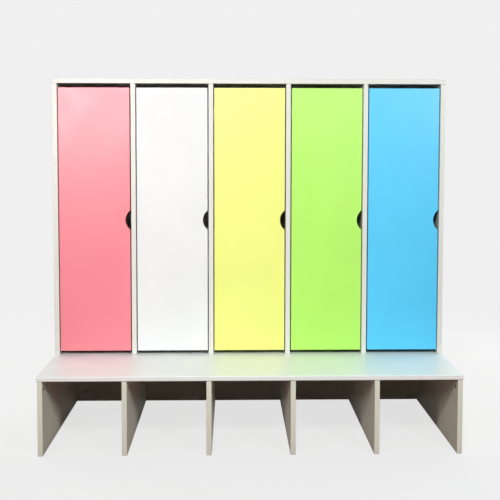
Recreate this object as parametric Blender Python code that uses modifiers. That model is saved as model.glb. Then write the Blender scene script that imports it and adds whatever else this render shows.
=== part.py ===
"""Five-door coat locker with a bench in front, built from laminated boards.

Metres, +Z up. Seen from the front, +X is to the right and +Y to the back.
The origin is on the floor, under the middle of the outer box.
"""

import math

import bmesh
import bpy
from mathutils import Matrix, Vector

# Overall sizes
WIDTH = 1.500
TOTAL_HEIGHT = 1.345
SEAT_HEIGHT = 0.284
SEAT_DEPTH = 0.300
CABINET_DEPTH = 0.340

# Boards
BOARD = 0.018
BOARD_ROUNDING = 0.001
SEAT_ROUNDING = 0.003
SEAT_ROUNDING_STEPS = 3
LEG_SETBACK_FRONT = 0.003
LEG_SETBACK_SIDE = 0.002
BACK_SHEET = 0.003
BACK_SHEET_MARGIN = 0.001
BACK_SHEET_ROUNDING = 0.0005

# Gaps: between pieces that touch, and round a fitting in its bore
JOINT_GAP = 0.0003
FIT_GAP = 0.0003

# Doors
DOOR_THICKNESS = 0.018
DOOR_RECESS = 0.001
DOOR_SIDE_GAP = 0.004
DOOR_TOP_GAP = 0.016
DOOR_BOTTOM_GAP = 0.0155
NOTCH_RADIUS = 0.048
NOTCH_DEPTH = 0.018
NOTCH_STEPS = 56

# Hat shelves
SHELF_DROP = 0.240
SHELF_SETBACK = 0.060

# Hinge cups, let into the doors
HINGE_INSET = 0.100
CUP_RADIUS = 0.0175
CUP_DEPTH = 0.0135
CUP_WALL = 0.001
CUP_TO_DOOR_EDGE = 0.005
CUP_STEPS = 20
FLANGE_RIM = 0.0025
FLANGE_THICKNESS = 0.0012
EAR_REACH = 0.012
EAR_WIDTH = 0.014
EAR_THICKNESS = 0.0009
PIN_RADIUS = 0.0014
PIN_TO_DOOR_EDGE = 0.016
PIN_STEPS = 8

# Hinge arms, screwed to the side panels and dividers
EYE_WALL = 0.0013
EYE_PROUD = 0.00025
ARM_THICKNESS = 0.0018
ARM_WIDTH = 0.011
ARM_BEND_RADIUS = 0.005
ARM_BEND_STEPS = 4
NECK_CLEARANCE = 0.0025
SWEEP_CLEARANCE = 0.001
CHANNEL_LENGTH = 0.047
CHANNEL_DEPTH = 0.008
CHANNEL_WIDTH = 0.014
CHANNEL_PROUD = 0.00025
CHANNEL_ROUNDING = 0.0005
PLATE_LENGTH = 0.034
PLATE_WIDTH = 0.046
PLATE_THICKNESS = 0.002
PLATE_SETBACK = 0.001

# Coat hooks under the hat shelves
HOOK_STEM_RADIUS = 0.004
HOOK_WIRE_RADIUS = 0.003
HOOK_ARC_RADIUS = 0.032
HOOK_ARC_SPAN = math.radians(150)
HOOK_ARC_STEPS = 10
HOOK_DROP = 0.062
HOOK_TIP_RADIUS = 0.005
HOOK_PLATE_LENGTH = 0.046
HOOK_PLATE_WIDTH = 0.022
HOOK_PLATE_THICKNESS = 0.003
HOOK_PLATE_ROUNDING = 0.001
HOOK_STEPS = 8
TIP_RINGS = 5

# Cam fittings that pull the base together
CAM_RADIUS = 0.0075
CAM_DEPTH = 0.0125
CAM_TO_JOINT = 0.032
LEG_CAM_TO_END = 0.027
BACK_CAM_TO_END = 0.040
CAM_SLOT_LENGTH = 0.009
CAM_SLOT_WIDTH = 0.002
CAM_SLOT_DEPTH = 0.003
CAM_STEPS = 16

# Finishes: name, screen colour, roughness, metallic
DOOR_COLOURS = {
    "pink": (250, 146, 156),
    "white": (246, 247, 246),
    "yellow": (245, 248, 138),
    "green": (186, 244, 110),
    "blue": (98, 200, 250),
}
DOOR_ROUGHNESS = 0.35
LAMINATE = ("white_laminate", (226, 224, 214), 0.40, 0.0)
FIBREBOARD = ("white_fibreboard", (232, 230, 224), 0.60, 0.0)
STEEL = ("nickel_plated_steel", (196, 196, 192), 0.28, 1.0)
ZINC = ("dark_zinc", (74, 70, 68), 0.45, 1.0)

# Mesh settings
ROUNDED_ANGLE = math.radians(40)
SMOOTH_ANGLE = math.radians(35)
MERGE_DISTANCE = 1e-6

# Places worked out from the sizes above
LOCKERS = len(DOOR_COLOURS)
DEPTH = SEAT_DEPTH + CABINET_DEPTH
FRONT = -DEPTH / 2
BACK = DEPTH / 2
SIDE = WIDTH / 2
CABINET_FRONT = FRONT + SEAT_DEPTH
CARCASS_BACK = BACK - BACK_SHEET - JOINT_GAP
PITCH = (WIDTH - BOARD) / LOCKERS
LOCKER_WIDTH = PITCH - BOARD
SEAT_UNDERSIDE = SEAT_HEIGHT - BOARD
LEG_TOP = SEAT_UNDERSIDE - JOINT_GAP
LEG_FACE = SIDE - LEG_SETBACK_SIDE - BOARD
BASE_BACK_FRONT = BACK - BOARD
UPRIGHT_LOW = SEAT_HEIGHT + JOINT_GAP
TOP_UNDERSIDE = TOTAL_HEIGHT - BOARD

DOOR_WIDTH = LOCKER_WIDTH - 2 * DOOR_SIDE_GAP
DOOR_LOW = SEAT_HEIGHT + DOOR_BOTTOM_GAP
DOOR_HIGH = TOP_UNDERSIDE - DOOR_TOP_GAP
DOOR_HEIGHT = DOOR_HIGH - DOOR_LOW
DOOR_MIDDLE = (DOOR_LOW + DOOR_HIGH) / 2
DOOR_FRONT = CABINET_FRONT + DOOR_RECESS

# The hinge pin is the origin of a door, its cups and its arms
EYE_RADIUS = PIN_RADIUS + FIT_GAP + EYE_WALL
CUP_FLOOR = DOOR_THICKNESS - CUP_DEPTH
PIN_TO_FRONT = CUP_FLOOR + CUP_WALL + FIT_GAP + EYE_RADIUS
PIN_TO_BACK = DOOR_THICKNESS - PIN_TO_FRONT
PIN_TO_PANEL = PIN_TO_DOOR_EDGE + DOOR_SIDE_GAP
CUP_CENTRE = CUP_TO_DOOR_EDGE + FIT_GAP + CUP_RADIUS - PIN_TO_DOOR_EDGE
CAVITY_RADIUS = CUP_RADIUS - CUP_WALL
DOOR_SWEEP = math.hypot(PIN_TO_DOOR_EDGE, max(PIN_TO_FRONT, PIN_TO_BACK))
HINGE_HEIGHT = DOOR_HEIGHT / 2 - HINGE_INSET
HINGES = {"lower": -HINGE_HEIGHT, "upper": HINGE_HEIGHT}


def empty_scene():
    """Remove everything that the scene starts with."""
    for item in list(bpy.data.objects):
        bpy.data.objects.remove(item, do_unlink=True)


def new_collection(name):
    """Make a collection of that name under the scene."""
    collection = bpy.data.collections.new(name)
    bpy.context.scene.collection.children.link(collection)
    return collection


def make_material(name, screen_colour, roughness, metallic):
    """Make a plain finish from a colour given in screen values."""
    material = bpy.data.materials.new(name)
    material.use_nodes = True
    shader = material.node_tree.nodes["Principled BSDF"]
    linear = [((value / 255 + 0.055) / 1.055) ** 2.4 for value in screen_colour]
    shader.inputs["Base Color"].default_value = (*linear, 1.0)
    shader.inputs["Roughness"].default_value = roughness
    shader.inputs["Metallic"].default_value = metallic
    return material


def place(name, mesh, location, material, parent=None):
    """Put a mesh in the object's collection as a named piece."""
    piece = bpy.data.objects.new(name, mesh)
    mesh.materials.clear()
    mesh.materials.append(material)
    piece.location = location
    piece.parent = parent
    parts.objects.link(piece)
    return piece


def helper(data, location=(0, 0, 0)):
    """Put a shape among the cutters: it forms other pieces and is not a piece itself."""
    tool = bpy.data.objects.new("cutter", data)
    tool.location = location
    tool.hide_render = True
    tool.display_type = "WIRE"
    cutters.objects.link(tool)
    return tool


def to_mesh(shape):
    """Turn an edited shape into mesh data."""
    mesh = bpy.data.meshes.new("shape")
    shape.to_mesh(mesh)
    shape.free()
    return mesh


def box_mesh(low, high):
    """A box between two corners."""
    low = Vector(low)
    high = Vector(high)
    shape = bmesh.new()
    size = Matrix.Diagonal((*(high - low), 1.0))
    bmesh.ops.create_cube(shape, size=1.0, matrix=Matrix.Translation((low + high) / 2) @ size)
    return to_mesh(shape)


def cylinder_mesh(radius, low, high, axis, steps, centre=(0, 0, 0)):
    """A cylinder along an axis, from low to high on it, through a centre point."""
    shape = bmesh.new()
    turn = Vector((0, 0, 1)).rotation_difference(Vector(axis)).to_matrix().to_4x4()
    middle = Vector(centre) + Vector(axis) * (low + high) / 2
    bmesh.ops.create_cone(
        shape,
        cap_ends=True,
        segments=steps,
        radius1=radius,
        radius2=radius,
        depth=high - low,
        matrix=Matrix.Translation(middle) @ turn,
    )
    return to_mesh(shape)


def combine(target, tool, operation):
    """Join a tool to a piece, or cut it away."""
    modifier = target.modifiers.new(operation.lower(), "BOOLEAN")
    modifier.object = tool
    modifier.operation = operation
    modifier.solver = "EXACT"


def round_edges(target, width, steps=1):
    """Round the sharp edges of a piece."""
    modifier = target.modifiers.new("rounding", "BEVEL")
    modifier.width = width
    modifier.segments = steps
    modifier.limit_method = "ANGLE"
    modifier.angle_limit = ROUNDED_ANGLE


def finished_mesh(shaped):
    """Give the mesh that a helper shows with its modifiers, and remove it with the tools it used."""
    bpy.context.view_layer.update()
    seen = shaped.evaluated_get(bpy.context.evaluated_depsgraph_get())
    shape = bmesh.new()
    shape.from_mesh(bpy.data.meshes.new_from_object(seen))
    bmesh.ops.remove_doubles(shape, verts=shape.verts, dist=MERGE_DISTANCE)
    mesh = to_mesh(shape)
    mesh.shade_smooth()
    mesh.set_sharp_from_angle(angle=SMOOTH_ANGLE)
    for modifier in shaped.modifiers:
        if modifier.type == "BOOLEAN":
            bpy.data.objects.remove(modifier.object, do_unlink=True)
    bpy.data.objects.remove(shaped, do_unlink=True)
    return mesh


def board(name, low, high, material, rounding=BOARD_ROUNDING, steps=1):
    """A board between two corners, its origin at its middle and its edges rounded."""
    low = Vector(low)
    high = Vector(high)
    half = (high - low) / 2
    piece = place(name, box_mesh(-half, half), (low + high) / 2, material)
    round_edges(piece, rounding, steps)
    return piece


def upright_x(index):
    """The middle of an upright board, counted from the left."""
    return -SIDE + BOARD / 2 + index * PITCH


def bench():
    """The bench board, its leg panels, the panel that closes it at the back, and the cam fittings."""
    seat_low = (-SIDE, FRONT, SEAT_UNDERSIDE)
    seat_high = (SIDE, BACK, SEAT_HEIGHT)
    board("bench_board", seat_low, seat_high, laminate, SEAT_ROUNDING, SEAT_ROUNDING_STEPS)
    legs = []
    for index in range(LOCKERS + 1):
        middle = upright_x(index)
        rear = BASE_BACK_FRONT - JOINT_GAP
        if index == 0:
            middle += LEG_SETBACK_SIDE
            rear = BACK
        if index == LOCKERS:
            middle -= LEG_SETBACK_SIDE
            rear = BACK
        low = (middle - BOARD / 2, FRONT + LEG_SETBACK_FRONT, 0)
        high = (middle + BOARD / 2, rear, LEG_TOP)
        legs.append(board(f"bench_leg_{index + 1}", low, high, laminate))
    reach = LEG_FACE - JOINT_GAP
    back_panel = board("base_back_panel", (-reach, BASE_BACK_FRONT, 0), (reach, BACK, LEG_TOP), laminate)
    mesh = cam_mesh()
    leg_cams(mesh, legs[0], legs[-1])
    back_cams(mesh, back_panel, reach - CAM_TO_JOINT)


def cam_mesh():
    """A cam fitting: a short cylinder from y = 0 back, with a crossed slot in its front face."""
    body = helper(cylinder_mesh(CAM_RADIUS, 0, CAM_DEPTH, (0, 1, 0), CAM_STEPS))
    length = CAM_SLOT_LENGTH / 2
    width = CAM_SLOT_WIDTH / 2
    for across, up in ((length, width), (width, length)):
        slot = box_mesh((-across, -CAM_SLOT_DEPTH, -up), (across, CAM_SLOT_DEPTH, up))
        combine(body, helper(slot), "DIFFERENCE")
    return finished_mesh(body)


def leg_cams(mesh, left_leg, right_leg):
    """Cam fittings on the inner faces of the outer legs, under the bench board."""
    height = LEG_TOP - CAM_TO_JOINT
    places = {
        "front": FRONT + LEG_SETBACK_FRONT + LEG_CAM_TO_END,
        "rear": BASE_BACK_FRONT - LEG_CAM_TO_END,
    }
    for label, along in places.items():
        cam(f"cam_leg_left_{label}", mesh, left_leg, (-LEG_FACE, along, height), (-1, 0, 0))
        cam(f"cam_leg_right_{label}", mesh, right_leg, (LEG_FACE, along, height), (1, 0, 0))


def back_cams(mesh, back_panel, across):
    """Cam fittings on the front of the base back panel, near the outer legs."""
    heights = {"low": BACK_CAM_TO_END, "high": LEG_TOP - BACK_CAM_TO_END}
    for label, height in heights.items():
        cam(f"cam_back_left_{label}", mesh, back_panel, (-across, BASE_BACK_FRONT, height), (0, 1, 0))
        cam(f"cam_back_right_{label}", mesh, back_panel, (across, BASE_BACK_FRONT, height), (0, 1, 0))


def cam(name, mesh, host, face_point, inward):
    """One cam, flush with a board's face, in a bore that goes into the board."""
    bore = cylinder_mesh(CAM_RADIUS + FIT_GAP, -CAM_DEPTH, CAM_DEPTH + FIT_GAP, inward, CAM_STEPS)
    combine(host, helper(bore, face_point), "DIFFERENCE")
    piece = place(name, mesh, face_point, zinc)
    piece.rotation_euler = Vector((0, 1, 0)).rotation_difference(Vector(inward)).to_euler()


def carcass():
    """The cabinet's uprights, top, back sheet, hat shelves and coat hooks."""
    names = ["side_panel_left"]
    names += [f"divider_{index}" for index in range(1, LOCKERS)]
    names += ["side_panel_right"]
    for index, name in enumerate(names):
        middle = upright_x(index)
        low = (middle - BOARD / 2, CABINET_FRONT, UPRIGHT_LOW)
        high = (middle + BOARD / 2, CARCASS_BACK, TOP_UNDERSIDE - JOINT_GAP)
        board(name, low, high, laminate)
    board("top_panel", (-SIDE, CABINET_FRONT, TOP_UNDERSIDE), (SIDE, CARCASS_BACK, TOTAL_HEIGHT), laminate)
    reach = SIDE - BACK_SHEET_MARGIN
    sheet_low = (-reach, BACK - BACK_SHEET, UPRIGHT_LOW)
    sheet_high = (reach, BACK, TOTAL_HEIGHT - BACK_SHEET_MARGIN)
    board("cabinet_back_sheet", sheet_low, sheet_high, fibreboard, BACK_SHEET_ROUNDING)
    hook = hook_mesh()
    for index in range(LOCKERS):
        hat_shelf(index, hook)


def hat_shelf(index, hook):
    """A hat shelf in one locker, and the coat hook under the middle of it."""
    middle = upright_x(index) + PITCH / 2
    reach = LOCKER_WIDTH / 2 - JOINT_GAP
    front = CABINET_FRONT + SHELF_SETBACK
    top = TOP_UNDERSIDE - SHELF_DROP
    underside = top - BOARD
    low = (middle - reach, front, underside)
    high = (middle + reach, CARCASS_BACK, top)
    board(f"hat_shelf_{index + 1}", low, high, laminate)
    seat = (middle, (front + CARCASS_BACK) / 2, underside - JOINT_GAP)
    place(f"coat_hook_{index + 1}", hook, seat, steel)


def wire_mesh(points, radius):
    """A round wire along a row of points."""
    data = bpy.data.curves.new("wire", "CURVE")
    data.dimensions = "3D"
    data.bevel_depth = radius
    data.bevel_resolution = 1
    data.use_fill_caps = True
    spline = data.splines.new("POLY")
    spline.points.add(len(points) - 1)
    for control, point in zip(spline.points, points):
        control.co = (*point, 1.0)
    return finished_mesh(helper(data))


def hook_mesh():
    """A double coat hook below z = 0: a plate, a stem and an upturned arc with a ball at each end."""
    half_length = HOOK_PLATE_LENGTH / 2
    half_width = HOOK_PLATE_WIDTH / 2
    plate = box_mesh((-half_length, -half_width, -HOOK_PLATE_THICKNESS), (half_length, half_width, 0))
    body = helper(plate)
    round_edges(body, HOOK_PLATE_ROUNDING)
    lowest = -HOOK_PLATE_THICKNESS - HOOK_DROP
    stem = cylinder_mesh(HOOK_STEM_RADIUS, lowest, -HOOK_PLATE_THICKNESS / 2, (0, 0, 1), HOOK_STEPS)
    combine(body, helper(stem), "UNION")
    arc = []
    for step in range(HOOK_ARC_STEPS + 1):
        angle = HOOK_ARC_SPAN * (step / HOOK_ARC_STEPS - 0.5)
        rise = HOOK_ARC_RADIUS * (1 - math.cos(angle))
        arc.append((HOOK_ARC_RADIUS * math.sin(angle), 0, lowest + rise))
    combine(body, helper(wire_mesh(arc, HOOK_WIRE_RADIUS)), "UNION")
    for tip in (arc[0], arc[-1]):
        ball = bmesh.new()
        bmesh.ops.create_uvsphere(ball, u_segments=HOOK_STEPS, v_segments=TIP_RINGS, radius=HOOK_TIP_RADIUS)
        combine(body, helper(to_mesh(ball), tip), "UNION")
    return finished_mesh(body)


def door_mesh():
    """A door about its hinge pin: a slab with a finger notch and a bore for each hinge cup."""
    left = -PIN_TO_DOOR_EDGE
    right = DOOR_WIDTH - PIN_TO_DOOR_EDGE
    half = DOOR_HEIGHT / 2
    slab = helper(box_mesh((left, -PIN_TO_FRONT, -half), (right, PIN_TO_BACK, half)))
    notch_centre = (right + NOTCH_RADIUS - NOTCH_DEPTH, 0, 0)
    notch = cylinder_mesh(NOTCH_RADIUS, -DOOR_THICKNESS, DOOR_THICKNESS, (0, 1, 0), NOTCH_STEPS, notch_centre)
    combine(slab, helper(notch), "DIFFERENCE")
    round_edges(slab, BOARD_ROUNDING)
    bore_floor = CUP_FLOOR - FIT_GAP - PIN_TO_FRONT
    for height in HINGES.values():
        centre = (CUP_CENTRE, 0, height)
        bore = cylinder_mesh(CUP_RADIUS + FIT_GAP, bore_floor, DOOR_THICKNESS, (0, 1, 0), CUP_STEPS, centre)
        combine(slab, helper(bore), "DIFFERENCE")
    return finished_mesh(slab)


def turned_mesh(profile, steps):
    """A turned shape about +Y. The profile is radius and height, from the axis down its outer side."""
    mesh = bpy.data.meshes.new("profile")
    points = [(radius, 0, height) for radius, height in profile]
    edges = [(index, index + 1) for index in range(len(points) - 1)]
    mesh.from_pydata(points, edges, [])
    turned = helper(mesh)
    screw = turned.modifiers.new("turning", "SCREW")
    screw.axis = "Z"
    screw.steps = steps
    screw.render_steps = steps
    screw.use_merge_vertices = True
    screw.merge_threshold = MERGE_DISTANCE
    result = finished_mesh(turned)
    result.transform(Matrix.Rotation(math.radians(-90), 4, "X"))
    return result


def cup_mesh():
    """A hinge cup about its pin: a round cup with a flange and screw ears, and the pin across it."""
    floor = CUP_FLOOR - PIN_TO_FRONT
    flange_low = PIN_TO_BACK + FIT_GAP
    flange_high = flange_low + FLANGE_THICKNESS
    rim = CUP_RADIUS + FLANGE_RIM
    profile = (
        (0, flange_high),
        (rim, flange_high),
        (rim, flange_low),
        (CUP_RADIUS, flange_low),
        (CUP_RADIUS, floor),
        (0, floor),
    )
    centre = (CUP_CENTRE, 0, 0)
    mesh = turned_mesh(profile, CUP_STEPS)
    mesh.transform(Matrix.Translation(centre))
    body = helper(mesh)
    ear_low = flange_low + (FLANGE_THICKNESS - EAR_THICKNESS) / 2
    ear_reach = CUP_RADIUS + EAR_REACH
    ear = box_mesh(
        (CUP_CENTRE - EAR_WIDTH / 2, ear_low, -ear_reach),
        (CUP_CENTRE + EAR_WIDTH / 2, ear_low + EAR_THICKNESS, ear_reach),
    )
    combine(body, helper(ear), "UNION")
    cavity = cylinder_mesh(CAVITY_RADIUS, floor + CUP_WALL, DOOR_THICKNESS, (0, 1, 0), CUP_STEPS, centre)
    combine(body, helper(cavity), "DIFFERENCE")
    pin_reach = math.sqrt(CAVITY_RADIUS**2 - CUP_CENTRE**2) + CUP_WALL / 2
    pin = cylinder_mesh(PIN_RADIUS, -pin_reach, pin_reach, (0, 0, 1), PIN_STEPS)
    combine(body, helper(pin), "UNION")
    return finished_mesh(body)


def bent_path(corners, radius, steps):
    """A row of points along straight runs, with an arc at each square corner between them."""
    points = [Vector(corners[0])]
    for before, corner, after in zip(corners, corners[1:], corners[2:]):
        corner = Vector(corner)
        towards = (Vector(before) - corner).normalized()
        away = (Vector(after) - corner).normalized()
        centre = corner + (towards + away) * radius
        for step in range(steps + 1):
            angle = math.radians(90) * step / steps
            points.append(centre - away * radius * math.cos(angle) - towards * radius * math.sin(angle))
    points.append(Vector(corners[-1]))
    return points


def strip_mesh(points, width, thickness):
    """A flat strip on edge along a row of points in the XY plane."""
    shape = bmesh.new()
    row = [shape.verts.new((point[0], point[1], -width / 2)) for point in points]
    edges = [shape.edges.new(pair) for pair in zip(row, row[1:])]
    raised = bmesh.ops.extrude_edge_only(shape, edges=edges)["geom"]
    upper = [item for item in raised if isinstance(item, bmesh.types.BMVert)]
    bmesh.ops.translate(shape, verts=upper, vec=(0, 0, width))
    strip = helper(to_mesh(shape))
    solid = strip.modifiers.new("thickness", "SOLIDIFY")
    solid.thickness = thickness
    solid.offset = 0
    solid.use_even_offset = True
    return finished_mesh(strip)


def arm_mesh():
    """A hinge arm about the pin: an eye, a bent neck that clears the door's edge, a channel and a plate."""
    back_run = DOOR_SWEEP + SWEEP_CLEARANCE + ARM_THICKNESS / 2
    cavity_edge = CUP_CENTRE + math.sqrt(CAVITY_RADIUS**2 - (ARM_WIDTH / 2) ** 2)
    neck = cavity_edge - NECK_CLEARANCE - ARM_THICKNESS / 2
    plate_low = JOINT_GAP - PIN_TO_PANEL
    plate_high = plate_low + PLATE_THICKNESS
    channel_high = plate_high + CHANNEL_DEPTH
    channel_front = back_run - ARM_THICKNESS / 2 - CHANNEL_PROUD
    channel_back = channel_front + CHANNEL_LENGTH
    channel = box_mesh(
        (plate_high - PLATE_THICKNESS / 2, channel_front, -CHANNEL_WIDTH / 2),
        (channel_high, channel_back, CHANNEL_WIDTH / 2),
    )
    body = helper(channel)
    round_edges(body, CHANNEL_ROUNDING)
    plate_back = channel_back - PLATE_SETBACK
    plate = box_mesh(
        (plate_low, plate_back - PLATE_LENGTH, -PLATE_WIDTH / 2),
        (plate_high, plate_back, PLATE_WIDTH / 2),
    )
    combine(body, helper(plate), "UNION")
    start = EYE_RADIUS - EYE_WALL / 2
    finish = channel_high - CHANNEL_DEPTH / 2
    corners = ((start, 0, 0), (neck, 0, 0), (neck, back_run, 0), (finish, back_run, 0))
    path = bent_path(corners, ARM_BEND_RADIUS, ARM_BEND_STEPS)
    combine(body, helper(strip_mesh(path, ARM_WIDTH, ARM_THICKNESS)), "UNION")
    eye_reach = ARM_WIDTH / 2 + EYE_PROUD
    eye = cylinder_mesh(EYE_RADIUS, -eye_reach, eye_reach, (0, 0, 1), PIN_STEPS)
    combine(body, helper(eye), "UNION")
    hole = cylinder_mesh(PIN_RADIUS + FIT_GAP, -ARM_WIDTH, ARM_WIDTH, (0, 0, 1), PIN_STEPS)
    combine(body, helper(hole), "DIFFERENCE")
    return finished_mesh(body)


def doors():
    """The doors on their hinges. Each door and its cups hang on an empty on the hinge axis."""
    door_shape = door_mesh()
    cup_shape = cup_mesh()
    arm_shape = arm_mesh()
    for index, (colour_name, screen_colour) in enumerate(DOOR_COLOURS.items()):
        left_edge = upright_x(index) + BOARD / 2 + DOOR_SIDE_GAP
        axis_point = Vector((left_edge + PIN_TO_DOOR_EDGE, DOOR_FRONT + PIN_TO_FRONT, DOOR_MIDDLE))
        pivot = bpy.data.objects.new(f"{colour_name}_door_pivot", None)
        pivot.location = axis_point
        parts.objects.link(pivot)
        finish = make_material(f"{colour_name}_laminate", screen_colour, DOOR_ROUGHNESS, 0.0)
        place(f"door_{colour_name}", door_shape.copy(), (0, 0, 0), finish, pivot)
        for label, height in HINGES.items():
            up = Vector((0, 0, height))
            place(f"hinge_cup_{colour_name}_{label}", cup_shape, up, steel, pivot)
            place(f"hinge_arm_{colour_name}_{label}", arm_shape, axis_point + up, steel)


empty_scene()
parts = new_collection("coat_locker_with_bench")
cutters = new_collection("cutters")
laminate = make_material(*LAMINATE)
fibreboard = make_material(*FIBREBOARD)
steel = make_material(*STEEL)
zinc = make_material(*ZINC)

doors()
carcass()
bench()
bpy.context.view_layer.update()
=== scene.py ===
"""Coat locker with a bench: finishes, small fasteners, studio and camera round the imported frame.

Metres, in the frame's axes: +X to the right seen from the front, +Y to the back, +Z up.
"""

import math

import bmesh
import bpy
from mathutils import Matrix, Vector


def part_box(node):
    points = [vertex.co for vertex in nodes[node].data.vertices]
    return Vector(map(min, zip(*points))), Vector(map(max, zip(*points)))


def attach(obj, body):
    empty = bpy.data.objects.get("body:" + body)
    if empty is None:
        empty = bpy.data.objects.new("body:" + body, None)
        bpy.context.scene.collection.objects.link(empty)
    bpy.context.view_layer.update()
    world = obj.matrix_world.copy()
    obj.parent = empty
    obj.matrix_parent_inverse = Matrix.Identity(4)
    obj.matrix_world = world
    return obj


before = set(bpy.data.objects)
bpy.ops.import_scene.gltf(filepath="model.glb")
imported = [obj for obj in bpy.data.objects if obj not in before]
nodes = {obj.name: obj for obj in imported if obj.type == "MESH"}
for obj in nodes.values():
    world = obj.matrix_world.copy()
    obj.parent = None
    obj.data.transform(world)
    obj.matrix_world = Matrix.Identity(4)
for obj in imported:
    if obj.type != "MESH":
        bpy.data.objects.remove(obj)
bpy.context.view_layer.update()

DOORS = ("pink", "white", "yellow", "green", "blue")
LEVELS = ("lower", "upper")
UPRIGHTS = ("side_panel_left", "divider_1", "divider_2", "divider_3", "divider_4", "side_panel_right")
LEG_NUMBERS = range(1, 7)
LOCKER_NUMBERS = range(1, 6)


def linear(red, green, blue):
    """A colour given in screen values, as the shader takes it."""
    return tuple(((value / 255 + 0.055) / 1.055) ** 2.4 for value in (red, green, blue)) + (1.0,)


def shade(colour, factor):
    """The same colour, lighter or darker."""
    return tuple(min(1.0, value * factor) for value in colour[:3]) + (1.0,)


# Sockets of the mix node that hold its colours
MIX_FIRST = 6
MIX_SECOND = 7
MIX_RESULT = 2

# Cosines between the plain and the rounded normal, off an edge and on it
EDGE_OFF = 0.985
EDGE_ON = 0.80


class Finish:
    """A material under construction."""

    def __init__(self, name):
        self.material = bpy.data.materials.new(name)
        self.material.use_nodes = True
        self.tree = self.material.node_tree
        self.shader = self.tree.nodes["Principled BSDF"]
        self.place = self.add("ShaderNodeTexCoord")

    def add(self, kind, **settings):
        """Add a node with these settings."""
        node = self.tree.nodes.new(kind)
        for name, value in settings.items():
            setattr(node, name, value)
        return node

    def feed(self, socket, value):
        """Link a socket to another, or give it a plain value."""
        if isinstance(value, bpy.types.NodeSocket):
            self.tree.links.new(value, socket)
        else:
            socket.default_value = value

    def set(self, **values):
        """Give sockets of the shader a value or a link, underscores standing for spaces."""
        for name, value in values.items():
            self.feed(self.shader.inputs[name.replace("_", " ")], value)

    def math(self, operation, first, second=0.0):
        """A sum, product or the like of one or two numbers."""
        node = self.add("ShaderNodeMath", operation=operation)
        self.feed(node.inputs[0], first)
        self.feed(node.inputs[1], second)
        return node.outputs[0]

    def spread(self, value, low, high, out_low=0.0, out_high=1.0):
        """A number from one range carried smoothly into another."""
        node = self.add("ShaderNodeMapRange", interpolation_type="SMOOTHSTEP")
        for socket, number in zip(node.inputs, (value, low, high, out_low, out_high)):
            self.feed(socket, number)
        return node.outputs[0]

    def stretched(self, stretch):
        """The object's own space, stretched along its axes."""
        mapping = self.add("ShaderNodeMapping")
        self.feed(mapping.inputs["Vector"], self.place.outputs["Object"])
        self.feed(mapping.inputs["Scale"], stretch)
        return mapping.outputs[0]

    def noise(self, scale, detail=2.0, stretch=(1, 1, 1)):
        """Cloudy noise in the object's own space, so many waves to the metre."""
        node = self.add("ShaderNodeTexNoise")
        self.feed(node.inputs["Vector"], self.stretched(stretch))
        self.feed(node.inputs["Scale"], scale)
        self.feed(node.inputs["Detail"], detail)
        return node.outputs[0]

    def cells(self, scale, stretch=(1, 1, 1)):
        """Distance to the nearest of scattered points, so many to the metre."""
        node = self.add("ShaderNodeTexVoronoi")
        self.feed(node.inputs["Vector"], self.stretched(stretch))
        self.feed(node.inputs["Scale"], scale)
        return node.outputs["Distance"]

    def mix(self, factor, first, second):
        """One colour going over into another."""
        node = self.add("ShaderNodeMix", data_type="RGBA")
        self.feed(node.inputs[0], factor)
        self.feed(node.inputs[MIX_FIRST], first)
        self.feed(node.inputs[MIX_SECOND], second)
        return node.outputs[MIX_RESULT]

    def component(self, name, axis):
        """X, Y or Z of one of the object's coordinates."""
        split = self.add("ShaderNodeSeparateXYZ")
        self.feed(split.inputs[0], self.place.outputs[name])
        return split.outputs[axis]

    def along(self, axis):
        """Where a point lies along X, Y or Z of the frame, at rest."""
        return self.component("Object", axis)

    def facing(self, axis):
        """How far the surface faces along X, Y or Z of the frame, at rest."""
        return self.component("Normal", axis)

    def edges(self, radius):
        """1 on edges and corners, 0 a little way off them."""
        bevel = self.add("ShaderNodeBevel", samples=4)
        self.feed(bevel.inputs["Radius"], radius)
        surface = self.add("ShaderNodeNewGeometry")
        dot = self.add("ShaderNodeVectorMath", operation="DOT_PRODUCT")
        self.feed(dot.inputs[0], bevel.outputs[0])
        self.feed(dot.inputs[1], surface.outputs["Normal"])
        return self.spread(dot.outputs["Value"], EDGE_OFF, EDGE_ON)

    def bump(self, *layers):
        """Relief from layers of height, each with its depth in metres and its strength."""
        normal = None
        for height, depth, strength in layers:
            node = self.add("ShaderNodeBump")
            self.feed(node.inputs["Height"], height)
            self.feed(node.inputs["Distance"], depth)
            self.feed(node.inputs["Strength"], strength)
            if normal is not None:
                self.feed(node.inputs["Normal"], normal)
            normal = node.outputs[0]
        self.set(Normal=normal)


# Detail of the laminated boards: waves, cells and patches to the metre, and lengths in metres
BOARD_CLOUDS = 4.5
LEG_CLOUDS = 5.5
PORES = 420
PEBBLES = 850
PEBBLE_DEPTH = 0.00008
BOARD_WAVES = 22
BOARD_WAVE_DEPTH = 0.0006
SEAT_WAVE_DEPTH = 0.0001
# Edges lighter in patches: partly wear, partly a painted highlight
WEAR_AND_HIGHLIGHT_REACH = 0.0012
WEAR_AND_HIGHLIGHT_PATCHES = 90
SHINE_PATCHES = 14
SOIL_HEIGHT = 0.050
SOIL_PATCHES = 70

# Tones of the laminated boards: factors of their colour, shares of what is mixed in, and steps of roughness
BOARD_DARK = 0.975
LEG_DARK = 0.97
LIGHT = 1.01
PORE_DARK = 0.86
PORE_SHARE = 0.10
# The lighter edges' share is partly wear and partly a painted highlight
WEAR_AND_HIGHLIGHT_SHARE = 0.28
SOIL_SHARE = 0.16
SOIL = linear(150, 138, 122)
SMOOTHER = 0.035
ROUGHER = 0.045
SOIL_ROUGHER = 0.15


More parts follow.
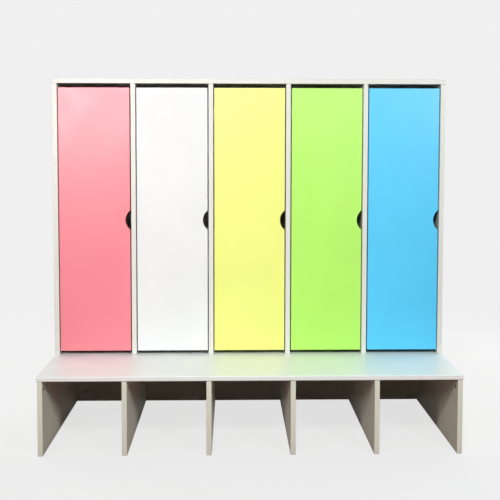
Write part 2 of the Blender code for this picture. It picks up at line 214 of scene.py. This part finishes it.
def laminate(
    name, colour, band_and_highlight, roughness, specular=0.5, wave=BOARD_WAVE_DEPTH, edging_and_painted_light=None, soiled=False
):
    """Pressed melamine on chipboard: a fine pebbled skin whose edges go lighter in patches, partly wear
    showing the edge banding's colour and partly a painted highlight.

    A lying board may have its sideways faces in a lighter colour, partly its plastic edge banding and partly
    painted light on those faces.
    A soiled board is cloudier, and a little dirty just above the floor.
    """
    finish = Finish(name)
    clouds, dark = (LEG_CLOUDS, LEG_DARK) if soiled else (BOARD_CLOUDS, BOARD_DARK)
    cloud = finish.spread(finish.noise(clouds, 3.0), 0.35, 0.65)
    skin = finish.mix(cloud, shade(colour, dark), shade(colour, LIGHT))
    # Sideways faces lighter: partly the plastic edge banding, partly painted light
    if edging_and_painted_light is not None:
        sideways = finish.spread(finish.math("ABSOLUTE", finish.facing("Z")), 0.75, 0.35)
        skin = finish.mix(sideways, skin, edging_and_painted_light)
    pores = finish.spread(finish.cells(PORES), 0.16, 0.05)
    skin = finish.mix(finish.math("MULTIPLY", pores, PORE_SHARE), skin, shade(colour, PORE_DARK))
    # Edges go lighter in patches: partly wear, partly a painted highlight
    patches = finish.spread(finish.noise(WEAR_AND_HIGHLIGHT_PATCHES, 4.0), 0.36, 0.62, 0.2, 1.0)
    worn_and_highlit = finish.math("MULTIPLY", finish.edges(WEAR_AND_HIGHLIGHT_REACH), patches)
    skin = finish.mix(finish.math("MULTIPLY", worn_and_highlit, WEAR_AND_HIGHLIGHT_SHARE), skin, band_and_highlight)
    shine = finish.noise(SHINE_PATCHES, 4.0)
    rough = finish.spread(shine, 0.3, 0.7, roughness - SMOOTHER, roughness + ROUGHER)
    if soiled:
        low = finish.spread(finish.along("Z"), SOIL_HEIGHT, 0.0)
        stains = finish.spread(finish.noise(SOIL_PATCHES, 5.0), 0.25, 0.75)
        soil = finish.math("MULTIPLY", low, stains)
        skin = finish.mix(finish.math("MULTIPLY", soil, SOIL_SHARE), skin, SOIL)
        rough = finish.math("ADD", rough, finish.math("MULTIPLY", soil, SOIL_ROUGHER))
    finish.set(Base_Color=skin, Roughness=rough, Specular_IOR_Level=specular)
    waves = finish.noise(BOARD_WAVES, 1.0)
    pebbles = finish.noise(PEBBLES, 1.5)
    finish.bump((waves, wave, 0.10), (pebbles, PEBBLE_DEPTH, 0.22))
    return finish.material


# Detail of the hardboard: fibres, flecks and patches to the metre, a depth in metres, and colours
FIBRES = 260
FIBRE_DEPTH = 0.0002
FLECKS = 300
BROWN_PATCHES = 3.2
ALONG_FIBRES = (1, 1, 0.35)
ALONG_FLECKS = (1, 1, 0.25)
BROWN_DARK = linear(146, 108, 73)
BROWN_LIGHT = linear(166, 127, 90)
FIBRE_DARK = linear(120, 84, 54)
FLECK_LIGHT = linear(188, 152, 112)
FOIL_DARK = linear(226, 224, 217)
FOIL_LIGHT = linear(233, 231, 225)


def fibreboard(name):
    """Hardboard with a white foil on the inside and bare brown fibre on the outside and the edges."""
    finish = Finish(name)
    fibres = finish.noise(FIBRES, 6.0, ALONG_FIBRES)
    flecks = finish.spread(finish.cells(FLECKS, ALONG_FLECKS), 0.22, 0.04)
    patches = finish.spread(finish.noise(BROWN_PATCHES, 4.0), 0.3, 0.7)
    brown = finish.mix(patches, BROWN_DARK, BROWN_LIGHT)
    brown = finish.mix(finish.spread(fibres, 0.35, 0.7, 0.0, 0.55), brown, FIBRE_DARK)
    brown = finish.mix(finish.math("MULTIPLY", flecks, 0.35), brown, FLECK_LIGHT)
    foil = finish.mix(patches, FOIL_DARK, FOIL_LIGHT)
    inside = finish.spread(finish.facing("Y"), -0.6, -0.9)
    finish.set(Base_Color=finish.mix(inside, brown, foil))
    finish.set(Roughness=finish.spread(fibres, 0.3, 0.7, 0.52, 0.72))
    finish.bump((fibres, FIBRE_DEPTH, 0.35))
    return finish.material


# Detail of the metals: strokes, patches and grains to the metre, a reach and depths in metres, and colours
BRUSH_STROKES = 900
BRUSH_DEPTH = 0.00003
DULL_PATCHES = 120
CAST_GRAINS = 1500
CAST_GRAIN_DEPTH = 0.00008
RUBBED_REACH = 0.0008
CAST_DARK = linear(60, 56, 54)
CAST_LIGHT = linear(88, 84, 81)
CAST_RUBBED = linear(150, 147, 143)


def steel(name, colour, roughness, brushed):
    """Plated steel with brush strokes, stretched along the axes as given, and fine dulled patches."""
    finish = Finish(name)
    strokes = finish.noise(BRUSH_STROKES, 3.0, brushed)
    dull = finish.spread(finish.noise(DULL_PATCHES, 4.0), 0.45, 0.72)
    skin = finish.mix(strokes, shade(colour, 0.90), shade(colour, 1.06))
    skin = finish.mix(finish.math("MULTIPLY", dull, 0.35), skin, shade(colour, 0.72))
    rough = finish.spread(strokes, 0.3, 0.7, roughness - 0.05, roughness + 0.08)
    rough = finish.math("ADD", rough, finish.math("MULTIPLY", dull, 0.08))
    finish.set(Base_Color=skin, Roughness=rough, Metallic=1.0)
    finish.bump((strokes, BRUSH_DEPTH, 0.25))
    return finish.material


def zinc(name):
    """Die-cast zinc, dark, grainy and brighter where it is rubbed."""
    finish = Finish(name)
    grains = finish.noise(CAST_GRAINS, 4.0)
    rubbed = finish.edges(RUBBED_REACH)
    skin = finish.mix(finish.spread(grains, 0.3, 0.7), CAST_DARK, CAST_LIGHT)
    skin = finish.mix(finish.math("MULTIPLY", rubbed, 0.6), skin, CAST_RUBBED)
    finish.set(Base_Color=skin, Roughness=finish.spread(grains, 0.3, 0.7, 0.38, 0.58), Metallic=1.0)
    finish.bump((grains, CAST_GRAIN_DEPTH, 0.4))
    return finish.material


# Shading of the pieces: the angles, in degrees, over which an edge stays sharp
BOARD_SHARP = 60
HOOK_SHARP = 50
FITTING_SHARP = 40
HEAD_SHARP = 32
SHARP_ANGLE_SOCKET = "Socket_1"
WELD_DISTANCE = 0.00001
FLAT_FACE_WEIGHT = 100


def smoothing():
    """A modifier group that joins the split faces of a solid and shades its round parts smooth."""
    group = bpy.data.node_groups.new("smooth_rounds", "GeometryNodeTree")
    group.interface.new_socket("Geometry", in_out="INPUT", socket_type="NodeSocketGeometry")
    group.interface.new_socket("Sharp Angle", in_out="INPUT", socket_type="NodeSocketFloat")
    group.interface.new_socket("Geometry", in_out="OUTPUT", socket_type="NodeSocketGeometry")
    start = group.nodes.new("NodeGroupInput")
    end = group.nodes.new("NodeGroupOutput")
    strip = group.nodes.new("GeometryNodeRemoveAttribute")
    strip.inputs["Name"].default_value = "custom_normal"
    weld = group.nodes.new("GeometryNodeMergeByDistance")
    weld.inputs["Distance"].default_value = WELD_DISTANCE
    smooth = group.nodes.new("GeometryNodeSetShadeSmooth")
    smooth.domain = "FACE"
    smooth.inputs["Shade Smooth"].default_value = True
    sharp = group.nodes.new("GeometryNodeSetShadeSmooth")
    sharp.domain = "EDGE"
    sharp.inputs["Shade Smooth"].default_value = False
    angle = group.nodes.new("GeometryNodeInputMeshEdgeAngle")
    compare = group.nodes.new("FunctionNodeCompare")
    compare.operation = "GREATER_THAN"
    chain = (start, strip, weld, smooth, sharp, end)
    for first, second in zip(chain, chain[1:]):
        group.links.new(first.outputs[0], second.inputs[0])
    group.links.new(angle.outputs["Unsigned Angle"], compare.inputs[0])
    group.links.new(start.outputs["Sharp Angle"], compare.inputs[1])
    group.links.new(compare.outputs[0], sharp.inputs["Selection"])
    return group


rounds = smoothing()


def dress(name, material, sharp_angle=BOARD_SHARP, flat_faces=True):
    """Give a solid its finish and smooth shading, with its large faces kept flat or not."""
    piece = nodes[name]
    piece.material_slots[0].material = material
    modifier = piece.modifiers.new("smooth_rounds", "NODES")
    modifier.node_group = rounds
    modifier[SHARP_ANGLE_SOCKET] = math.radians(sharp_angle)
    if flat_faces:
        normals = piece.modifiers.new("flat_faces", "WEIGHTED_NORMAL")
        normals.keep_sharp = True
        normals.weight = FLAT_FACE_WEIGHT


# Finishes, each door's with its colour, roughness and specular level, its edge banding, with a painted edge
# highlight, that much lighter
WHITE = linear(230, 229, 222)
# Colour the edges go to: partly the edge banding, partly a painted highlight
BAND_AND_HIGHLIGHT = linear(237, 235, 230)
SEAT = linear(236, 241, 238)
# Lighter colour of the seat's sideways faces: partly edge banding, partly painted light
SEAT_EDGING_AND_PAINTED_LIGHT = linear(250, 250, 247)
LEG = linear(239, 238, 220)
NICKEL = linear(204, 203, 198)
BRIGHT_NICKEL = linear(212, 211, 206)
ZINC_PLATE = linear(188, 187, 180)
DOOR_BAND_AND_HIGHLIGHT = 1.04
DOOR_SKINS = {
    "pink": (linear(246, 134, 146), 0.38, 1.0),
    "white": (linear(240, 241, 242), 0.54, 0.2),
    "yellow": (linear(244, 250, 133), 0.40, 0.9),
    "green": (linear(184, 247, 102), 0.40, 0.9),
    "blue": (linear(85, 208, 255), 0.40, 0.7),
}
white = laminate("white_laminate_satin", WHITE, BAND_AND_HIGHLIGHT, roughness=0.42)
seat = laminate(
    "white_laminate_seat",
    SEAT,
    BAND_AND_HIGHLIGHT,
    roughness=0.325,
    specular=0.8,
    wave=SEAT_WAVE_DEPTH,
    edging_and_painted_light=SEAT_EDGING_AND_PAINTED_LIGHT,
)
leg = laminate("white_laminate_leg", LEG, BAND_AND_HIGHLIGHT, roughness=0.55, specular=0.08, soiled=True)
back = fibreboard("white_faced_hardboard")
nickel = steel("nickel_plated_steel_satin", NICKEL, roughness=0.34, brushed=(1, 0.06, 1))
polished = steel("nickel_plated_steel_bright", BRIGHT_NICKEL, roughness=0.17, brushed=(0.2, 1, 1))
plated = steel("zinc_plated_steel", ZINC_PLATE, roughness=0.32, brushed=(1, 1, 1))
cast = zinc("dark_die_cast_zinc")
door_finishes = {
    name: laminate(f"{name}_laminate_satin", colour, shade(colour, DOOR_BAND_AND_HIGHLIGHT), roughness, specular)
    for name, (colour, roughness, specular) in DOOR_SKINS.items()
}

for name in UPRIGHTS + ("top_panel",):
    dress(name, white)
dress("base_back_panel", leg)
dress("bench_board", seat)
dress("cabinet_back_sheet", back)
for number in LEG_NUMBERS:
    dress(f"bench_leg_{number}", leg)
for number in LOCKER_NUMBERS:
    dress(f"hat_shelf_{number}", white)
    dress(f"coat_hook_{number}", polished, HOOK_SHARP, flat_faces=False)
for name in DOORS:
    dress(f"door_{name}", door_finishes[name])
    for level in LEVELS:
        dress(f"hinge_cup_{name}_{level}", nickel, FITTING_SHARP, flat_faces=False)
        dress(f"hinge_arm_{name}_{level}", nickel, FITTING_SHARP, flat_faces=False)
for name in sorted(nodes):
    if name.startswith("cam_"):
        dress(name, cast, FITTING_SHARP, flat_faces=False)


def turned(profile, sides):
    """A turned shape about +Z from radius and height, starting and ending on the axis."""
    shape = bmesh.new()
    rings = []
    for radius, height in profile:
        if radius == 0:
            rings.append([shape.verts.new((0, 0, height))])
            continue
        ring = []
        for step in range(sides):
            angle = 2 * math.pi * step / sides
            ring.append(shape.verts.new((radius * math.cos(angle), radius * math.sin(angle), height)))
        rings.append(ring)
    for upper, lower in zip(rings, rings[1:]):
        for step in range(sides):
            after = (step + 1) % sides
            corners = [upper[step % len(upper)], lower[step % len(lower)]]
            corners += [lower[after % len(lower)], upper[after % len(upper)]]
            unique = list(dict.fromkeys(corners))
            shape.faces.new(unique)
    bmesh.ops.recalc_face_normals(shape, faces=shape.faces)
    return shape


def meshed(shape, name):
    """The mesh of a shape that is then done with."""
    mesh = bpy.data.meshes.new(name)
    shape.to_mesh(mesh)
    shape.free()
    return mesh


def put(name, data):
    """A new object in the scene from a mesh, a light or a camera."""
    item = bpy.data.objects.new(name, data)
    bpy.context.scene.collection.objects.link(item)
    return item


# Heads of the fasteners: sides of their rounds, shares of the radius, and degrees from turn to turn
SCREW_SIDES = 16
NAIL_SIDES = 10
RECESS_LENGTH = 1.15
RECESS_WIDTH = 0.22
TURN_STEP = 37


def screw_head(radius, height):
    """A raised screw head about +Z with a cross recess."""
    profile = (
        (0, height * 0.62),
        (radius * 0.10, height * 0.62),
        (radius * 0.14, height),
        (radius * 0.62, height * 0.90),
        (radius * 0.90, height * 0.52),
        (radius, height * 0.14),
        (radius, 0),
        (0, 0),
    )
    head = put("head", meshed(turned(profile, SCREW_SIDES), "head"))
    cutters = []
    recess = (radius * RECESS_LENGTH, radius * RECESS_WIDTH, height)
    for turn in (0, 90):
        slot = bmesh.new()
        bmesh.ops.create_cube(slot, size=1.0)
        bmesh.ops.scale(slot, verts=slot.verts, vec=recess)
        bmesh.ops.translate(slot, verts=slot.verts, vec=(0, 0, height))
        bmesh.ops.rotate(slot, verts=slot.verts, matrix=Matrix.Rotation(math.radians(turn), 3, "Z"))
        cutter = put("slot", meshed(slot, "slot"))
        cut = head.modifiers.new("recess", "BOOLEAN")
        cut.object = cutter
        cut.operation = "DIFFERENCE"
        cut.solver = "EXACT"
        cutters.append(cutter)
    bpy.context.view_layer.update()
    seen = head.evaluated_get(bpy.context.evaluated_depsgraph_get())
    made = bpy.data.meshes.new_from_object(seen)
    for item in cutters + [head]:
        bpy.data.objects.remove(item, do_unlink=True)
    return made


def scatter(name, mesh, places, material, body):
    """One piece made of copies of a mesh, each on its point, along its direction and turned by its angle."""
    shape = bmesh.new()
    for point, direction, turn in places:
        copy = mesh.copy()
        stand = Vector((0, 0, 1)).rotation_difference(Vector(direction)).to_matrix().to_4x4()
        copy.transform(Matrix.Translation(point) @ stand @ Matrix.Rotation(turn, 4, "Z"))
        shape.from_mesh(copy)
        bpy.data.meshes.remove(copy)
    joined = meshed(shape, name)
    joined.materials.clear()
    joined.materials.append(material)
    joined.shade_smooth()
    joined.set_sharp_from_angle(angle=math.radians(HEAD_SHARP))
    piece = put(name, joined)
    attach(piece, body)


def turn_of(number):
    """A screw's own turn, different from one to the next."""
    return math.radians(TURN_STEP * number % 180)


# Screws that hold the hinges and the hooks
PLATE_THICKNESS = 0.002
PLATE_SCREW_TO_BACK = 0.018
PLATE_SCREW_HEIGHT = 0.0155
EAR_BELOW_FLANGE = 0.00015
EAR_SCREW_HEIGHT = 0.0247
HOOK_SCREW_SPACING = 0.0165
HOOK_PLATE_THICKNESS = 0.003
hinge_screw = screw_head(radius=0.0040, height=0.0016)
small_screw = screw_head(radius=0.0036, height=0.0015)
plate_places = []
for name in DOORS:
    ear_places = []
    for level in LEVELS:
        low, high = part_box(f"hinge_arm_{name}_{level}")
        centre = (low + high) / 2
        for side in (-1, 1):
            height = centre.z + side * PLATE_SCREW_HEIGHT
            point = (low.x + PLATE_THICKNESS, high.y - PLATE_SCREW_TO_BACK, height)
            plate_places.append((point, (1, 0, 0), turn_of(len(plate_places))))
        low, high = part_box(f"hinge_cup_{name}_{level}")
        centre = (low + high) / 2
        for side in (-1, 1):
            point = (centre.x, high.y - EAR_BELOW_FLANGE, centre.z + side * EAR_SCREW_HEIGHT)
            ear_places.append((point, (0, 1, 0), turn_of(len(ear_places) + 1)))
    scatter(f"cup_screws_{name}", small_screw, ear_places, plated, f"{name}_door")
scatter("hinge_plate_screws", hinge_screw, plate_places, plated, "carcass")
hook_places = []
for number in LOCKER_NUMBERS:
    low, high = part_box(f"coat_hook_{number}")
    centre = (low + high) / 2
    for side in (-1, 1):
        point = (centre.x + side * HOOK_SCREW_SPACING, centre.y, high.z - HOOK_PLATE_THICKNESS)
        hook_places.append((point, (0, 0, -1), turn_of(len(hook_places) + 2)))
scatter("hook_screws", small_screw, hook_places, plated, "carcass")

# Nails that hold the back sheet, into the uprights, the shelves and the top
NAIL_ROWS = 9
NAIL_MARGIN = 0.030
NAIL_HEAD_RADIUS = 0.0016
NAIL_HEAD_HEIGHT = 0.0005
nail_profile = (
    (0, NAIL_HEAD_HEIGHT),
    (NAIL_HEAD_RADIUS * 0.7, NAIL_HEAD_HEIGHT * 0.92),
    (NAIL_HEAD_RADIUS, NAIL_HEAD_HEIGHT * 0.4),
    (NAIL_HEAD_RADIUS, 0),
    (0, 0),
)
nail = meshed(turned(nail_profile, NAIL_SIDES), "nail")
sheet_low, sheet_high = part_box("cabinet_back_sheet")
nailed_height = sheet_high.z - sheet_low.z - 2 * NAIL_MARGIN
nail_points = []
middles = []
for name in UPRIGHTS:
    low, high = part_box(name)
    middles.append((low.x + high.x) / 2)
    for row in range(NAIL_ROWS):
        share = row / (NAIL_ROWS - 1)
        height = sheet_low.z + NAIL_MARGIN + share * nailed_height
        nail_points.append((middles[-1], sheet_high.y, height))
shelf_low, shelf_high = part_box("hat_shelf_1")
top_low, top_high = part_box("top_panel")
for left, right in zip(middles, middles[1:]):
    for share in (1 / 3, 2 / 3):
        across = left + (right - left) * share
        nail_points.append((across, sheet_high.y, (shelf_low.z + shelf_high.z) / 2))
        nail_points.append((across, sheet_high.y, (top_low.z + top_high.z) / 2))
nail_places = [(point, (0, 1, 0), turn_of(number)) for number, point in enumerate(nail_points)]
scatter("back_nails", nail, nail_places, plated, "carcass")

# Studio: near the object a share of the floor's look is the light and shadow on it, and far off none is
BACKGROUND = linear(240, 240, 240)
FLOOR_BOUNCE = linear(98, 38, 40)
FLOOR_SHADED_SHARE = 0.16
FLOOR_SHADED_REACH = 1.3
FLOOR_FADED_REACH = 2.6
FLOOR_HALF_SIZE = 30
FLOOR_HEIGHT = -0.0005
SKY = linear(244, 247, 255)
SKY_RISE = (0.05, 0.85)
SKY_STRENGTH = (0.0, 0.25)


def seen_directly(tree):
    """1 for rays from the camera, a glossy surface or glass, 0 for light on the object."""
    path = tree.nodes.new("ShaderNodeLightPath")
    total = path.outputs["Is Camera Ray"]
    for name in ("Is Glossy Ray", "Is Transmission Ray"):
        node = tree.nodes.new("ShaderNodeMath")
        node.operation = "MAXIMUM"
        tree.links.new(total, node.inputs[0])
        tree.links.new(path.outputs[name], node.inputs[1])
        total = node.outputs[0]
    return total


def floor_material():
    """A pale floor that goes over into the background, and keeps the object's shadow near it."""
    finish = Finish("studio_floor")
    tree = finish.tree
    tree.nodes.remove(finish.shader)
    output = tree.nodes["Material Output"]
    length = finish.add("ShaderNodeVectorMath", operation="LENGTH")
    finish.feed(length.inputs[0], finish.place.outputs["Object"])
    shaded = finish.spread(
        length.outputs["Value"], FLOOR_SHADED_REACH, FLOOR_FADED_REACH, FLOOR_SHADED_SHARE, 0.0
    )
    glow = finish.add("ShaderNodeEmission")
    finish.feed(glow.inputs["Color"], BACKGROUND)
    paint = finish.add("ShaderNodeBsdfDiffuse")
    finish.feed(paint.inputs["Color"], BACKGROUND)
    pale = finish.add("ShaderNodeMixShader")
    finish.feed(pale.inputs[0], shaded)
    finish.feed(pale.inputs[1], glow.outputs[0])
    finish.feed(pale.inputs[2], paint.outputs[0])
    bounce = finish.add("ShaderNodeBsdfDiffuse")
    finish.feed(bounce.inputs["Color"], FLOOR_BOUNCE)
    both = finish.add("ShaderNodeMixShader")
    finish.feed(both.inputs[0], seen_directly(tree))
    finish.feed(both.inputs[1], bounce.outputs[0])
    finish.feed(both.inputs[2], pale.outputs[0])
    finish.feed(output.inputs["Surface"], both.outputs[0])
    return finish.material


def studio_world():
    """Soft light from above for the object, and the plain background for the camera."""
    world = bpy.data.worlds.new("studio")
    bpy.context.scene.world = world
    world.use_nodes = True
    tree = world.node_tree
    tree.nodes.clear()
    output = tree.nodes.new("ShaderNodeOutputWorld")
    place = tree.nodes.new("ShaderNodeTexCoord")
    split = tree.nodes.new("ShaderNodeSeparateXYZ")
    tree.links.new(place.outputs["Generated"], split.inputs[0])
    height = tree.nodes.new("ShaderNodeMapRange")
    height.interpolation_type = "SMOOTHSTEP"
    tree.links.new(split.outputs["Z"], height.inputs[0])
    for socket, number in zip(height.inputs[1:5], SKY_RISE + SKY_STRENGTH):
        socket.default_value = number
    sky = tree.nodes.new("ShaderNodeBackground")
    sky.inputs["Color"].default_value = SKY
    tree.links.new(height.outputs[0], sky.inputs["Strength"])
    plain = tree.nodes.new("ShaderNodeBackground")
    plain.inputs["Color"].default_value = BACKGROUND
    both = tree.nodes.new("ShaderNodeMixShader")
    tree.links.new(seen_directly(tree), both.inputs[0])
    tree.links.new(sky.outputs[0], both.inputs[1])
    tree.links.new(plain.outputs[0], both.inputs[2])
    tree.links.new(both.outputs[0], output.inputs["Surface"])


def lamp(name, place, target, size, watts, colour, spread=180, glare=True):
    """A soft rectangular lamp that points at a target, its light fanning out by an angle in degrees.

    The camera never sees the lamp, and glossy faces mirror it only with glare.
    """
    data = bpy.data.lights.new(name, "AREA")
    data.shape = "RECTANGLE"
    data.size, data.size_y = size
    data.energy = watts
    data.color = colour
    data.spread = math.radians(spread)
    item = put(name, data)
    item.location = place
    item.rotation_euler = (Vector(target) - Vector(place)).to_track_quat("-Z", "Y").to_euler()
    item.visible_camera = False
    item.visible_glossy = glare


floor_shape = bmesh.new()
bmesh.ops.create_grid(floor_shape, x_segments=1, y_segments=1, size=FLOOR_HALF_SIZE)
floor = put("floor", meshed(floor_shape, "floor"))
floor.data.materials.append(floor_material())
floor.location.z = FLOOR_HEIGHT

studio_world()
lamp(
    "key",
    place=(-0.15, -2.75, 2.50),
    target=(0.0, -0.15, 0.45),
    size=(0.4, 0.3),
    watts=29.6,
    colour=(1.0, 0.99, 0.98),
    spread=140,
)
lamp(
    "gridded",
    place=(-1.13, -2.95, 1.67),
    target=(-0.75, -0.02, 1.28),
    size=(0.7, 0.7),
    watts=2.25,
    colour=(1.0, 0.97, 0.94),
    spread=50,
)
lamp(
    "front_left",
    place=(-1.90, -2.50, 1.65),
    target=(-0.35, -0.02, 0.45),
    size=(0.45, 0.45),
    watts=5.5,
    colour=(1.0, 0.98, 0.96),
    spread=100,
)
lamp(
    "front_right",
    place=(1.80, -2.60, 1.90),
    target=(0.55, -0.02, 0.90),
    size=(0.45, 0.45),
    watts=11,
    colour=(0.92, 1.0, 0.985),
    spread=100,
)
lamp(
    "rear",
    place=(0.9, 2.9, 2.3),
    target=(0.0, 0.3, 0.7),
    size=(1.6, 1.2),
    watts=58,
    colour=(1.0, 0.99, 0.97),
    glare=False,
)
for name, side in (("left_side", -1), ("right_side", 1)):
    lamp(
        name,
        place=(2.8 * side, 1.5, 0.75),
        target=(0.75 * side, 0.15, 0.75),
        size=(1.2, 1.2),
        watts=56,
        colour=(1.0, 0.99, 0.98),
        glare=False,
    )

# Camera, fitted to the photograph: pixels of the picture, the row that the axis meets, and radians
IMAGE = 500
FOCAL = 791.10
AXIS_ROW = 195
CAMERA_PLACE = (-0.0673, -3.0505, 1.0698)
CAMERA_YAW = 0.0227
CAMERA_PITCH = 0.0552
CAMERA_ROLL = 0.0015
camera_data = bpy.data.cameras.new("camera")
camera_data.sensor_width = 36
camera_data.lens = camera_data.sensor_width * FOCAL / IMAGE
camera_data.shift_y = (AXIS_ROW - IMAGE / 2) / IMAGE
camera = put("camera", camera_data)
tilt = Matrix.Rotation(math.pi / 2 - CAMERA_PITCH, 4, "X") @ Matrix.Rotation(CAMERA_ROLL, 4, "Z")
camera.matrix_world = Matrix.Translation(CAMERA_PLACE) @ Matrix.Rotation(-CAMERA_YAW, 4, "Z") @ tilt
bpy.context.scene.camera = camera

bpy.context.scene.view_settings.view_transform = "Standard"
